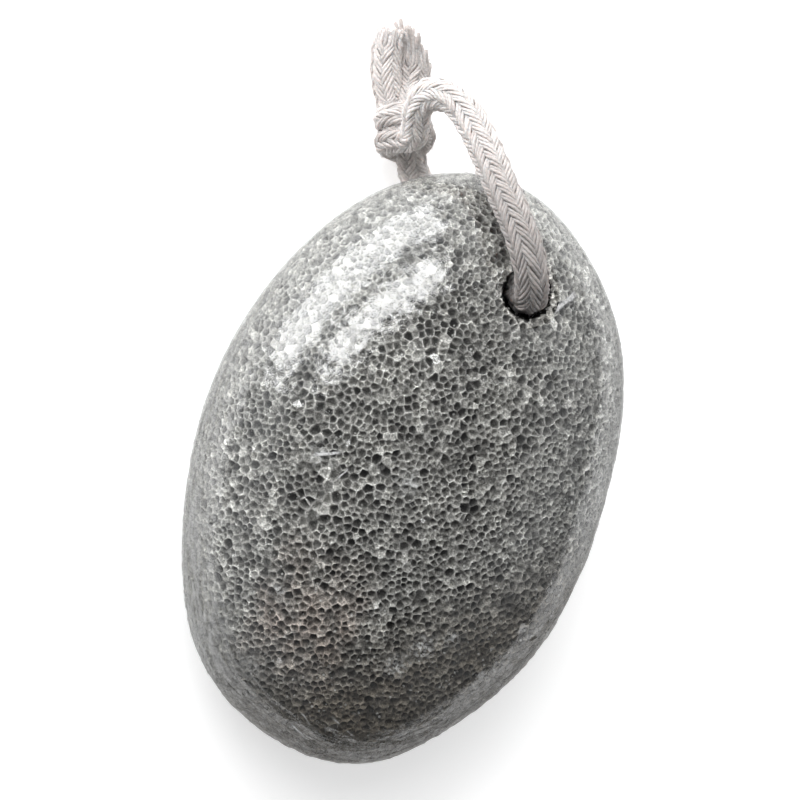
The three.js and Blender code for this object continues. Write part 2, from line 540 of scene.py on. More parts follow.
class Nodes:
    """Short ways to write a material's nodes."""

    def __init__(self, name):
        self.mat = bpy.data.materials.new(name)
        self.mat.use_nodes = True
        self.tree = self.mat.node_tree
        self.tree.nodes.clear()
        self.out = self.add("ShaderNodeOutputMaterial")
        self.place = self.add("ShaderNodeTexCoord").outputs["Object"]

    def add(self, kind, **values):
        n = self.tree.nodes.new(kind)
        for k, v in values.items():
            setattr(n, k, v)
        return n

    def link(self, a, b):
        if isinstance(a, (int, float)):
            b.default_value = a
        elif isinstance(a, tuple):
            b.default_value = a if len(a) == 4 else a + (1.0,)
        else:
            self.tree.links.new(a, b)

    def noise(self, scale, detail=2.0, rough=0.5, vector=None, out="Fac", distortion=0.0):
        n = self.add("ShaderNodeTexNoise")
        n.inputs["Scale"].default_value = scale
        n.inputs["Detail"].default_value = detail
        n.inputs["Roughness"].default_value = rough
        n.inputs["Distortion"].default_value = distortion
        self.tree.links.new(vector or self.place, n.inputs["Vector"])
        return n.outputs[out]

    def voronoi(self, scale, out="Distance", feature="F1", vector=None, random=1.0):
        n = self.add("ShaderNodeTexVoronoi", feature=feature)
        n.inputs["Scale"].default_value = scale
        n.inputs["Randomness"].default_value = random
        self.tree.links.new(vector or self.place, n.inputs["Vector"])
        return n.outputs[out]

    def ramp(self, fac, *stops, mode="LINEAR"):
        n = self.add("ShaderNodeValToRGB")
        n.color_ramp.interpolation = mode
        el = n.color_ramp.elements
        while len(el) < len(stops):
            el.new(0.5)
        for e, (pos, col) in zip(el, stops):
            e.position = pos
            if isinstance(col, (int, float)):
                col = (col, col, col)
            e.color = tuple(col) + (1.0,)
        self.link(fac, n.inputs["Fac"])
        return n.outputs["Color"]

    def math(self, op, a, b=None, c=None, clamp=False):
        n = self.add("ShaderNodeMath", operation=op, use_clamp=clamp)
        for k, v in enumerate((a, b, c)):
            if v is not None:
                self.link(v, n.inputs[k])
        return n.outputs[0]

    def mix(self, fac, a, b, kind="MIX"):
        n = self.add("ShaderNodeMix", data_type="RGBA", blend_type=kind)
        self.link(fac, n.inputs[0])
        self.link(a, n.inputs[6])
        self.link(b, n.inputs[7])
        return n.outputs[2]

    def attr(self, name):
        return self.add("ShaderNodeAttribute", attribute_name=name, attribute_type="GEOMETRY").outputs["Fac"]

    def range(self, v, a, b, c, d):
        n = self.add("ShaderNodeMapRange")
        self.link(v, n.inputs["Value"])
        for k, x in zip(("From Min", "From Max", "To Min", "To Max"), (a, b, c, d)):
            n.inputs[k].default_value = x
        return n.outputs["Result"]

    def bump(self, height, strength, distance, normal=None):
        n = self.add("ShaderNodeBump")
        n.inputs["Strength"].default_value = strength
        n.inputs["Distance"].default_value = distance
        self.link(height, n.inputs["Height"])
        if normal is not None:
            self.tree.links.new(normal, n.inputs["Normal"])
        return n.outputs["Normal"]

    def stroke(self, place, a, b, width, soft=0.5):
        """1 on a thin line between two points, fading off it and towards its ends."""
        a, b = np.array(a), np.array(b)
        d = b - a
        v = self.add("ShaderNodeVectorMath", operation="SUBTRACT")
        self.tree.links.new(place, v.inputs[0])
        v.inputs[1].default_value = tuple(a * MM)
        dot = self.add("ShaderNodeVectorMath", operation="DOT_PRODUCT")
        self.tree.links.new(v.outputs[0], dot.inputs[0])
        dot.inputs[1].default_value = tuple(d / (d @ d) / MM)
        t = self.math("MULTIPLY", dot.outputs["Value"], 1.0, clamp=True)
        along = self.add("ShaderNodeVectorMath", operation="SCALE")
        along.inputs[0].default_value = tuple(d * MM)
        self.tree.links.new(t, along.inputs["Scale"])
        off = self.add("ShaderNodeVectorMath", operation="SUBTRACT")
        self.tree.links.new(v.outputs[0], off.inputs[0])
        self.tree.links.new(along.outputs[0], off.inputs[1])
        size = self.add("ShaderNodeVectorMath", operation="LENGTH")
        self.tree.links.new(off.outputs[0], size.inputs[0])
        body = self.range(size.outputs["Value"], width * soft * MM, width * MM, 1, 0)
        ends = self.math("SUBTRACT", 1.0, self.math("POWER", self.math("ABSOLUTE", self.math("SUBTRACT", self.math("MULTIPLY", t, 2.0), 1.0)), 6.0))
        return self.math("MULTIPLY", body, ends)

    def broad_end(self):
        """0 over most of the stone, rising to 1 at the end away from the cord."""
        x, y, _ = self.xyz()
        u = self.math("SUBTRACT", self.math("MULTIPLY", x, 0.85), y)
        return self.range(u, 0.020, 0.037, 0, 1)

    def xyz(self):
        n = self.add("ShaderNodeSeparateXYZ")
        self.tree.links.new(self.place, n.inputs[0])
        return n.outputs


def stone_material():
    m = Nodes("pumice")
    deep = m.attr("deep")
    grain = m.noise(2600, 4, 0.62)
    fine = m.noise(3700, 3, 0.7)
    big = m.noise(55, 3, 0.55)
    mid = m.noise(260, 2, 0.5)
    # lighter where the walls end at the surface, darker down in the cells: painted shade in the cells' hollows
    d = m.math("ADD", deep, m.range(grain, 0.25, 0.75, -0.10, 0.10))
    base = m.ramp(m.range(d, -0.1, 1.5, 0, 1),
                  (0.00, (0.740, 0.730, 0.692)), (0.105, (0.660, 0.650, 0.616)), (0.18, (0.460, 0.453, 0.426)),
                  (0.34, (0.300, 0.295, 0.275)), (0.55, (0.145, 0.142, 0.132)), (1.00, (0.055, 0.054, 0.050)))
    tone = m.math("MULTIPLY", m.range(big, 0.3, 0.7, 1.00, 1.26), m.range(mid, 0.3, 0.7, 0.90, 1.09))
    tone = m.math("MULTIPLY", tone, m.range(grain, 0.32, 0.68, 0.58, 1.42))
    tone = m.math("MULTIPLY", tone, m.range(fine, 0.34, 0.66, 0.45, 1.50))
    tone = m.math("MULTIPLY", tone, m.attr("tone"))
    # small pores in the walls, drawn as darker spots: painted shade in them
    pore = m.voronoi(2100, "Distance")
    tone = m.math("MULTIPLY", tone, m.range(pore, 0.10, 0.36, 0.50, 1.06))
    col = m.mix(1.0, base, tone, "MULTIPLY")
    # the broad end is a little browner, and painted darker as shade
    brown_and_painted_shade = m.math("MULTIPLY", m.broad_end(), m.range(big, 0.3, 0.65, 0.7, 1.0))
    col = m.mix(brown_and_painted_shade, col, m.mix(1.0, col, (0.40, 0.352, 0.292), "MULTIPLY"))
    # a warm reddish patch at the lower left: a painted reflection of the room in the film
    warm_painted_reflection = m.math("MULTIPLY", m.stroke(m.place, (-20, -27, 34), (-2, -28, 36), 15, 0.2), m.range(mid, 0.35, 0.6, 0.3, 1.0))
    col = m.mix(warm_painted_reflection, col, m.mix(1.0, col, (1.02, 0.91, 0.86), "MULTIPLY"))
    # pale specks, painted glints off the glassy walls, and dark grains
    cell = m.voronoi(1500, "Color")
    near = m.voronoi(1500, "Distance")
    pick = m.add("ShaderNodeSeparateColor")
    m.tree.links.new(cell, pick.inputs[0])
    speck = m.math("MULTIPLY", m.math("GREATER_THAN", pick.outputs[0], 0.84), m.math("LESS_THAN", near, 0.30))
    dark = m.math("MULTIPLY", m.math("LESS_THAN", pick.outputs[1], 0.07), m.math("LESS_THAN", near, 0.30))
    col = m.mix(m.math("MULTIPLY", speck, 0.75), col, (0.80, 0.80, 0.77))
    col = m.mix(m.math("MULTIPLY", dark, 0.65), col, (0.075, 0.078, 0.072))
    # pale rubbed places, which also serve as painted glints of small wrinkles in the film over them
    rub_and_glint = m.math("MULTIPLY", m.attr("rub_and_glint"), m.math("GREATER_THAN", m.noise(1500, 3, 0.7), 0.50), clamp=True)
    col = m.mix(rub_and_glint, col, (0.88, 0.88, 0.86))
    b = m.add("ShaderNodeBsdfPrincipled")
    m.tree.links.new(col, b.inputs["Base Color"])
    m.tree.links.new(m.range(grain, 0.3, 0.7, 0.72, 0.95), b.inputs["Roughness"])
    b.inputs["Specular IOR Level"].default_value = 0.35
    n = m.bump(grain, 0.9, 0.00030)
    n = m.bump(fine, 0.9, 0.00014, n)
    m.tree.links.new(n, b.inputs["Normal"])
    m.tree.links.new(b.outputs[0], m.out.inputs["Surface"])
    return m.mat


def film_material():
    m = Nodes("shrink_film")
    crease = m.attr("crease")
    # long fine creases where the film gathers round the sides
    mp = m.add("ShaderNodeMapping")
    mp.inputs["Rotation"].default_value = (math.radians(9), math.radians(-7), 0)
    mp.inputs["Scale"].default_value = (0.10, 0.10, 1.0)
    m.tree.links.new(m.place, mp.inputs["Vector"])
    fold = m.noise(1000, 4, 0.62, vector=mp.outputs[0], distortion=0.9)
    ridge = m.math("SUBTRACT", 1.0, m.math("MULTIPLY", m.math("ABSOLUTE", m.math("SUBTRACT", fold, 0.5)), 9.0), clamp=True)
    # the gloss is broken up where the film touches the walls under it
    lw = m.add("ShaderNodeLayerWeight")
    lw.inputs["Blend"].default_value = 0.5
    f = m.math("POWER", lw.outputs["Facing"], 5.0)
    middle = m.attr("middle")
    pane = m.math("DIVIDE", m.attr("pane"), m.math("MAXIMUM", middle, 0.02), clamp=True)
    touch = m.math("MULTIPLY", m.range(middle, 0.04, 0.16, 0.60, 1.0), m.range(pane, 0.0, 1.0, 0.62, 1.06))
    speck = m.range(m.noise(4200, 3, 0.65), 0.36, 0.46, 0.35, 1.0)
    gloss = m.math("ADD", m.math("MULTIPLY", f, 0.08), m.math("MULTIPLY", m.math("MULTIPLY", touch, speck), 0.120), clamp=True)
    g = m.add("ShaderNodeBsdfGlossy")
    g.inputs["Color"].default_value = (1, 1, 1, 1)
    g.inputs["Roughness"].default_value = 0.055
    n = m.bump(m.noise(3200, 3, 0.6), 0.16, 0.0001)
    n = m.bump(m.math("MULTIPLY", fold, crease), 0.7, 0.0005, n)
    m.tree.links.new(n, g.inputs["Normal"])
    t = m.add("ShaderNodeBsdfTransparent")
    # folded layers let less light through
    m.tree.links.new(m.mix(crease, (0.985, 0.988, 0.99), (0.84, 0.84, 0.83)), t.inputs["Color"])
    # the gathered film is drawn as a dull veil: painted shade in dark grey, pale painted glints on the crease ridges,
    # darker and browner at the broad end as painted shade
    haze = m.add("ShaderNodeBsdfDiffuse")
    veil_shade_and_glints = m.mix(ridge, (0.070, 0.070, 0.066), (0.56, 0.565, 0.57))
    veil_shade_and_glints = m.mix(m.broad_end(), veil_shade_and_glints, m.mix(1.0, veil_shade_and_glints, (0.50, 0.46, 0.40), "MULTIPLY"))
    # single wrinkles, a little wavy, drawn as pale lines: painted glints along them
    sway = m.add("ShaderNodeVectorMath", operation="SCALE")
    m.tree.links.new(m.noise(420, 2, 0.5, out="Color"), sway.inputs[0])
    sway.inputs["Scale"].default_value = 0.0007
    place = m.add("ShaderNodeVectorMath", operation="ADD")
    m.tree.links.new(m.place, place.inputs[0])
    m.tree.links.new(sway.outputs[0], place.inputs[1])
    back = m.add("ShaderNodeVectorMath", operation="SUBTRACT")
    m.tree.links.new(place.outputs[0], back.inputs[0])
    back.inputs[1].default_value = (0.00035, 0.00035, 0.00035)
    line = 0.0
    for a, b, width, strength in WRINKLES:
        line = m.math("MAXIMUM", line, m.math("MULTIPLY", m.stroke(back.outputs[0], a, b, width), strength))
    line = m.math("MULTIPLY", line, m.range(m.noise(1500, 2, 0.6), 0.30, 0.55, 0.55, 1.0))
    veil_shade_and_glints = m.mix(line, veil_shade_and_glints, (0.80, 0.80, 0.80))
    m.tree.links.new(veil_shade_and_glints, haze.inputs["Color"])
    h = m.add("ShaderNodeMixShader")
    veil = m.math("MULTIPLY", crease, m.math("ADD", m.math("MULTIPLY", ridge, 0.32), 0.07))
    m.link(m.math("ADD", m.math("ADD", veil, m.math("MULTIPLY", line, 0.75)), 0.003, clamp=True), h.inputs[0])
    m.tree.links.new(t.outputs[0], h.inputs[1])
    m.tree.links.new(haze.outputs[0], h.inputs[2])
    mix = m.add("ShaderNodeMixShader")
    m.tree.links.new(gloss, mix.inputs[0])
    m.tree.links.new(h.outputs[0], mix.inputs[1])
    m.tree.links.new(g.outputs[0], mix.inputs[2])
    m.tree.links.new(mix.outputs[0], m.out.inputs["Surface"])
    return m.mat


# ------------------------------------------------------------------ the film
def gathered(q):
    """How far the film is gathered into creases: 0 on the faces, 1 round the sides."""
    around = np.degrees(np.arctan2(q[:, 1], q[:, 0])) % 360
    start = np.interp(around, [0, 45, 90, 135, 170, 200, 240, 270, 300, 330, 360],
                      [0.88, 0.91, 0.93, 0.95, 0.94, 0.92, 0.85, 0.80, 0.80, 0.84, 0.88])
    out = np.hypot(q[:, 0] / HALF_X, q[:, 1] / HALF_Y)
    k = np.clip((out - start) / 0.15, 0, 1)
    return k * k * (3 - 2 * k) * np.clip((q[:, 2] - 3) / 9, 0.15, 1)


def build_film():
    """A closed skin drawn over the rims of the cells, dished over each cell."""
    p, r, ring, corner, _ = CELLS
    rng = np.random.default_rng(SEED + 3)
    n, nc = len(p), len(corner)
    dip = np.clip(rng.normal(0.014, 0.010, n), 0.002, 0.040)
    slack = rng.random(n) < 0.25
    dip[slack] = rng.uniform(0.030, 0.075, slack.sum())
    dip *= np.clip(CELL_SIZE / 0.55, 0.4, 1.4)
    used = [i for i in range(n) if len(ring[i]) >= 3]
    number = -np.ones(n, int)
    number[used] = np.arange(len(used)) + nc
    centre = to_surface(np.array([corner[ring[i]].mean(0) for i in used]))
    flat = np.concatenate([corner, centre])
    nn = normals_at(flat)
    deep = np.concatenate([np.clip(rng.normal(0, 0.024, nc), -0.045, 0.055), dip[used]])
    # standing folds where the film gathers round the sides
    at_side = gathered(flat)
    for i in np.nonzero(at_side > 0.02)[0]:
        x, y, z = flat[i]
        q = noise.noise((x * 0.085 + 0.10 * z, y * 0.085 - 0.07 * z, z * 0.55 + 0.05 * x))
        fold = max(0.0, 1 - abs(q) * 5.0)
        deep[i] -= at_side[i] * (0.22 * fold + 0.05 * noise.noise((x * 0.5, y * 0.5, z * 0.5)))
    faces = []
    for i in used:
        t, c = ring[i], number[i]
        for k in range(len(t)):
            faces.append((t[k], t[(k + 1) % len(t)], c))
    pane = np.concatenate([np.zeros(nc), rng.random(len(used))])
    middle = np.concatenate([np.zeros(nc), np.ones(len(used))])
    outer = mesh_object("film_skin", settle(flat, nn, FILM_OUT, deep, FILM_FLOOR) * MM, faces)
    inner = mesh_object("film_inner", settle(flat, nn, FILM_OUT, deep + 0.055, FILM_FLOOR) * MM, faces)
    for o in (outer, inner):
        attribute(o, "pane", pane)
        attribute(o, "middle", middle)
    carve(outer, inner)
    drop(inner)
    cutter = drill_object(5.4, 72, 30, 0.0, 9)
    carve(outer, cutter)
    drop(cutter)
    say("film", len(outer.data.vertices), "tris", sum(len(q.vertices) - 2 for q in outer.data.polygons))
    return outer


FILM = build_film()

# Places near listed points on the stone.
co = co_of(STONE) / MM


def near_points(co, points, size):
    out = np.zeros(len(co))
    for q in points:
        d = np.linalg.norm(co - np.array(q[:3]), axis=1)
        out = np.maximum(out, np.exp(-(d / (size * q[3])) ** 2))
    return out


# Pale spots on the stone, partly rubbed places and partly painted glints of small film wrinkles: x, y, z and size.
RUB_AND_GLINT_SPOTS = [(-18.1, -2.1, 37.4, 0.6), (-3.9, -1.7, 40.4, 0.7), (5.2, -29.3, 36.4, 0.7), (8.3, -25.2, 37.0, 0.8),
          (12.2, -22.5, 36.8, 0.5), (-15.2, -37.7, 29.6, 0.8), (-16.8, -24.0, 35.0, 0.5)]
attribute(STONE, "rub_and_glint", np.minimum(near_points(co, RUB_AND_GLINT_SPOTS, 2.2) * 1.3, 1.0))
fco = co_of(FILM) / MM
attribute(FILM, "crease", gathered(fco))

STONE.data.materials.clear()
STONE.data.materials.append(stone_material())
FILM.data.materials.clear()
FILM.data.materials.append(film_material())


# ------------------------------------------------------------------ the cord
# From the left tail through the knot, the front strand, the hole, and back
# through the knot to the right tail: x, y, z and the radius there.
ROUTE = [
    (-22.79, 67.13, 3.0, 2.75), (-22.42, 64.66, 3.0, 2.79), (-21.84, 62.23, 3.0, 2.82), (-20.99, 59.89, 3.0, 2.86),
    (-19.84, 57.67, 2.98, 2.69), (-18.61, 55.51, 2.89, 2.51), (-18.23, 53.36, 3.89, 2.38), (-18.93, 52.41, 6.05, 2.4),
    (-19.31, 52.65, 8.47, 2.4), (-18.2, 53.58, 10.39, 2.4), (-15.83, 53.72, 10.24, 2.4), (-14.0, 53.12, 8.68, 2.4),
    (-12.79, 52.23, 6.69, 2.4), (-12.29, 51.07, 4.56, 2.4), (-13.32, 49.74, 2.88, 2.4), (-15.54, 49.04, 3.43, 2.43),
    (-17.1, 49.01, 5.35, 2.51), (-17.84, 49.38, 7.69, 2.58), (-17.31, 50.03, 10.0, 2.61), (-15.99, 50.47, 12.06, 2.5),
    (-15.78, 51.47, 14.27, 2.49), (-16.6, 53.05, 16.02, 2.4), (-17.43, 54.8, 17.59, 2.49), (-17.47, 56.71, 19.16, 2.7),
    (-16.11, 58.09, 20.66, 2.86), (-14.13, 58.16, 22.12, 2.86), (-12.27, 57.16, 23.44, 2.86), (-10.65, 55.74, 24.7, 2.86),
    (-9.21, 54.17, 25.99, 2.86), (-7.89, 52.52, 27.32, 2.86), (-6.67, 50.81, 28.67, 2.86), (-5.53, 49.1, 30.09, 2.86),
    (-4.43, 47.42, 31.58, 2.86), (-3.36, 45.77, 33.11, 2.86), (-2.27, 44.12, 34.64, 2.86), (-1.15, 42.45, 36.12, 2.86),
    (0.03, 40.7, 37.45, 2.86), (1.29, 38.81, 38.48, 2.86), (2.76, 36.50, 38.84, 2.86), (4.22, 34.25, 38.14, 2.86),
    (5.32, 32.50, 36.32, 2.86), (5.62, 31.96, 33.75, 2.86), (5.40, 32.50, 31.15, 2.86), (5.04, 33.66, 28.71, 2.86),
    (4.85, 34.04, 26.25, 2.86), (4.77, 34.34, 23.77, 2.86), (4.73, 34.62, 21.29, 2.86), (4.67, 34.91, 18.81, 2.86),
    (4.58, 35.22, 16.34, 2.86), (4.46, 35.54, 13.87, 2.86), (4.35, 35.88, 11.39, 2.86), (4.17, 36.28, 8.94, 2.78),
    (3.64, 36.9, 6.59, 2.75), (2.51, 37.91, 4.62, 2.71), (0.84, 39.25, 3.38, 2.7), (-1.14, 40.72, 3.01, 2.73),
    (-3.27, 42.02, 3.03, 2.78), (-5.54, 43.06, 3.02, 2.82), (-7.84, 44.01, 2.97, 2.85), (-10.01, 45.24, 3.09, 2.83),
    (-11.66, 46.96, 3.74, 2.7), (-13.0, 48.67, 4.97, 2.53), (-14.39, 50.35, 6.18, 2.4), (-15.46, 52.54, 6.45, 2.39),
    (-15.89, 54.86, 5.68, 2.51), (-15.97, 57.07, 4.51, 2.66), (-16.07, 59.31, 3.42, 2.78), (-16.57, 61.69, 2.93, 2.82),
    (-17.41, 64.04, 2.89, 2.86), (-18.41, 66.33, 2.91, 2.78), (-19.48, 68.58, 2.9, 2.75),
]
PITCH = 23.0      # length of one turn of a strand
COUNT = 8         # strands each way
YARN = 0.295      # radius of a yarn
TURN0 = 0.0       # where the columns of the braid start round the cord
# painted light and shade along the cord, with some dust near the stone: how pale the cotton is painted at each length
CORD_LIGHT_AND_DUST = ((0, 12, 20, 45, 50, 56, 60, 66, 72, 78, 83, 90, 98, 106, 118, 132, 139, 148, 152, 176),
        (1.05, 1.02, 0.81, 0.81, 1.16, 1.20, 1.10, 1.08, 0.98, 0.82, 0.62, 0.53, 0.54, 0.8, 1.15, 1.18, 1.22, 1.25,
         0.84, 0.80))





def spline(points, step):
    """A centripetal curve through the points, resampled evenly."""
    P = np.array(points)
    P = np.vstack([2 * P[0] - P[1], P, 2 * P[-1] - P[-2]])
    out = []
    for i in range(1, len(P) - 2):
        p0, p1, p2, p3 = P[i - 1:i + 3]
        t = [0.0]
        for a, b in ((p0, p1), (p1, p2), (p2, p3)):
            t.append(t[-1] + max(np.linalg.norm((b - a)[:3]) ** 0.5, 1e-3))
        u = np.linspace(t[1], t[2], 24, endpoint=False)[:, None]
        a1 = (t[1] - u) / (t[1] - t[0]) * p0 + (u - t[0]) / (t[1] - t[0]) * p1
        a2 = (t[2] - u) / (t[2] - t[1]) * p1 + (u - t[1]) / (t[2] - t[1]) * p2
        a3 = (t[3] - u) / (t[3] - t[2]) * p2 + (u - t[2]) / (t[3] - t[2]) * p3
        b1 = (t[2] - u) / (t[2] - t[0]) * a1 + (u - t[0]) / (t[2] - t[0]) * a2
        b2 = (t[3] - u) / (t[3] - t[1]) * a2 + (u - t[1]) / (t[3] - t[1]) * a3
        out.append((t[2] - u) / (t[2] - t[1]) * b1 + (u - t[1]) / (t[2] - t[1]) * b2)
    out = np.vstack(out + [P[-2:-1]])
    s = np.concatenate([[0], np.cumsum(np.linalg.norm(np.diff(out[:, :3], axis=0), axis=1))])
    n = int(round(s[-1] / step)) + 1
    q = np.linspace(0, s[-1], n)
    return q, np.stack([np.interp(q, s, out[:, k]) for k in range(out.shape[1])], 1)


class Line:
    """The cord's centreline with a frame carried along it without twist."""

    def __init__(self, route, step=0.2):
        self.s, q = spline(route, step)
        self.p, self.r = q[:, :3], q[:, 3]
        self.length = self.s[-1]
        # a little smoothing takes out the kinks between the points
        for _ in range(6):
            self.p[1:-1] = 0.25 * self.p[:-2] + 0.5 * self.p[1:-1] + 0.25 * self.p[2:]
        t = np.gradient(self.p, axis=0)
        self.t = t / np.linalg.norm(t, axis=1)[:, None]
        a = np.cross(self.t[0], [0, 0, 1.0])
        a /= np.linalg.norm(a)
        A = [a]
        for i in range(1, len(self.p)):
            a = A[-1] - self.t[i] * (A[-1] @ self.t[i])
            A.append(a / np.linalg.norm(a))
        self.a = np.array(A)
        self.b = np.cross(self.t, self.a)

    def at(self, s):
        f = lambda v: np.stack([np.interp(s, self.s, v[:, k]) for k in range(3)], -1)
        # beyond an end the line goes straight on
        over = np.where(s < 0, s, np.where(s > self.length, s - self.length, 0.0))
        p = f(self.p) + f(self.t) * over[..., None]
        return p, f(self.t), f(self.a), f(self.b), np.interp(s, self.s, self.r)


def tube_rings(path, radius, sides, out=None, flat=1.0):
    """Rings of points round a path, with caps as single points; vertices and faces."""
    n = len(path)
    t = np.gradient(path, axis=0)
    t /= np.maximum(np.linalg.norm(t, axis=1), 1e-9)[:, None]
    if out is None:
        ref = np.array([0.3, 0.5, 0.81])
        out = np.cross(t, ref)
    u = out - t * (out * t).sum(1)[:, None]
    u /= np.maximum(np.linalg.norm(u, axis=1), 1e-9)[:, None]
    v = np.cross(t, u)
    ang = 2 * np.pi * np.arange(sides) / sides
    radius = np.broadcast_to(radius, n)
    ring = (path[:, None] + radius[:, None, None] * (np.cos(ang)[None, :, None] * u[:, None] * flat
                                                     + np.sin(ang)[None, :, None] * v[:, None]))
    verts = np.vstack([ring.reshape(-1, 3), path[:1] - t[:1] * radius[0] * 0.5, path[-1:] + t[-1:] * radius[-1] * 0.5])
    i = np.arange(n - 1)[:, None] * sides
    k = np.arange(sides)[None, :]
    k2 = (k + 1) % sides
    quads = np.stack([i + k, i + k2, i + sides + k2, i + sides + k], -1).reshape(-1, 4)
    a, b = n * sides, n * sides + 1
    k = np.arange(sides)
    k2 = (k + 1) % sides
    start = np.stack([np.full(sides, a), k2, k], 1)
    end = np.stack([np.full(sides, b), (n - 1) * sides + k, (n - 1) * sides + k2], 1)
    faces = quads.tolist() + start.tolist() + end.tolist()
    phase = np.concatenate([np.tile(ang, n), [0, 0]])
    return verts, faces, phase


def braid(line, rng):
    V, F, along, turn, under, tint, light_and_dust = [], [], [], [], [], [], []
    base = 0
    L = line.length
    w = 2 * math.pi / PITCH
    fray = (2.8, 6.0)                         # how much of each end is unbraided
    left_cut, right_cut = 0.5, 5.6            # how uneven the two cuts are
    # which way is the picture's right at the right tail, to slant its cut
    _, _, ta, tb, _ = line.at(np.array([L]))
    side = np.array([0.93, 0.36, 0.0])
    for way in (1, -1):
        for i in range(COUNT):
            th0 = 2 * math.pi * i / COUNT + TURN0
            colour = rng.normal(0, 1)
            for k in (-1, 0, 1):
                s = np.arange(-0.6, L + 0.6, 0.56) + rng.uniform(0, 0.3)
                d = k * 0.50 + rng.normal(0, 0.03)
                ang = math.atan(2.6 * w)
                # where this yarn runs: beside the strand's middle
                th = th0 + way * w * s + d * math.cos(ang) / 2.6
                ss = s - way * d * math.sin(ang)
                # unbraided ends: the yarn stops turning there
                lo, hi = fray[0], L - fray[1]
                sb = np.clip(ss, lo, hi)
                th = th0 + way * w * (sb + way * d * math.sin(ang)) + d * math.cos(ang) / 2.6
                e = np.maximum(lo - ss, 0) + np.maximum(ss - hi, 0)
                h = way * np.cos(4 * (th - TURN0) - math.pi / 4)
                calm = np.exp(-(e / 1.6) ** 2)
                c, t, a, b, R = line.at(ss)
                out = np.cos(th)[:, None] * a + np.sin(th)[:, None] * b
                lump = sum(np.sin(s * f + q) for f, q in zip(rng.uniform(0.5, 2.4, 3), rng.uniform(0, 6, 3)))
                rad = R - YARN - 0.30 + (0.30 * h - 0.10 * abs(k)) * calm + 0.040 * lump + rng.normal(0, 0.014, len(s))
                rad = rad * (1 - 0.30 * (1 - calm) * rng.uniform(0.0, 1.0))
                p = c + out * rad[:, None]
                # ends fall apart a little
                g = (e / 4.0) ** 2
                drift = rng.normal(0, 0.34, 3) * [1, 1, 0.5] + out.mean(0) * 0.0
                p = p + g[:, None] * (drift + out * rng.uniform(-0.05, 0.30))
                wave = rng.normal(0, 0.10, 3)
                p = p + (np.sin(e * rng.uniform(0.9, 1.6)) * np.minimum(e / 3, 1))[:, None] * wave
                # cut the ends
                lat = float((math.cos(th[-1]) * ta + math.sin(th[-1]) * tb)[0] @ side) * 2.3
                s0 = rng.uniform(-0.25, left_cut)
                step = np.interp(lat, [-2.4, -0.2, 0.1, 0.9, 1.1, 1.7, 1.9, 2.4], [0, 0.05, 0.35, 0.40, 0.65, 0.70, 0.95, 1.0])
                s1 = L - step * right_cut + rng.normal(0, 0.22)
                keep = (ss >= s0) & (ss <= min(s1, L + 0.5))
                p, o, sk = p[keep], out[keep], ss[keep]
                p[:, 2] = np.maximum(p[:, 2], YARN + 0.03)
                fat = YARN * (1 + rng.normal(0, 0.03) + 0.05 * np.sin(sk * rng.uniform(2.5, 4.5) + rng.uniform(0, 6)))
                fat = fat * (1 + 0.16 * (1 - calm[keep]))
                v, f, ph = tube_rings(p, fat, 5, o, 1.0)
                V.append(v)
                F += [[x + base for x in q] for q in f]
                base += len(v)
                al = np.concatenate([np.repeat(sk * 1.3, 5), [sk[0] * 1.3, sk[-1] * 1.3]])
                along.append(al + rng.uniform(0, 1))
                turn.append(ph)
                # how far each yarn lies under the others, lower on the loose ends; the material paints this as shade
                hk = 0.5 - 0.5 * h[keep] * calm[keep] - 0.45 * (1 - calm[keep])
                under.append(np.concatenate([np.repeat(hk, 5), [hk[0], hk[-1]]]))
                # each yarn's own tone, a little different at random
                tint.append(np.full(len(v), colour * 0.6 + rng.normal(0, 0.6)))
                # painted light and shade along the cord: lighter over the arch and the back strand under the knot,
                # darker in the knot and towards the hole, with some dust where it rubs on the stone
                w1 = np.interp(sk, CORD_LIGHT_AND_DUST[0], CORD_LIGHT_AND_DUST[1])
                light_and_dust.append(np.concatenate([np.repeat(w1, 5), [w1[0], w1[-1]]]))
    # the heart of the cord, under the strands
    s = np.arange(1.6, L - 6.5, 1.1)
    c, t, a, b, R = line.at(s)
    v, f, ph = tube_rings(c, R - 0.86, 12, a)
    V.append(v)
    F += [[x + base for x in q] for q in f]
    base += len(v)
    along.append(np.zeros(len(v)))
    turn.append(ph)
    # the heart is painted darkest, as shade under the strands
    under.append(np.ones(len(v)) * 1.3)
    tint.append(np.zeros(len(v)))
    light_and_dust.append(np.ones(len(v)))
    say("braid", base)
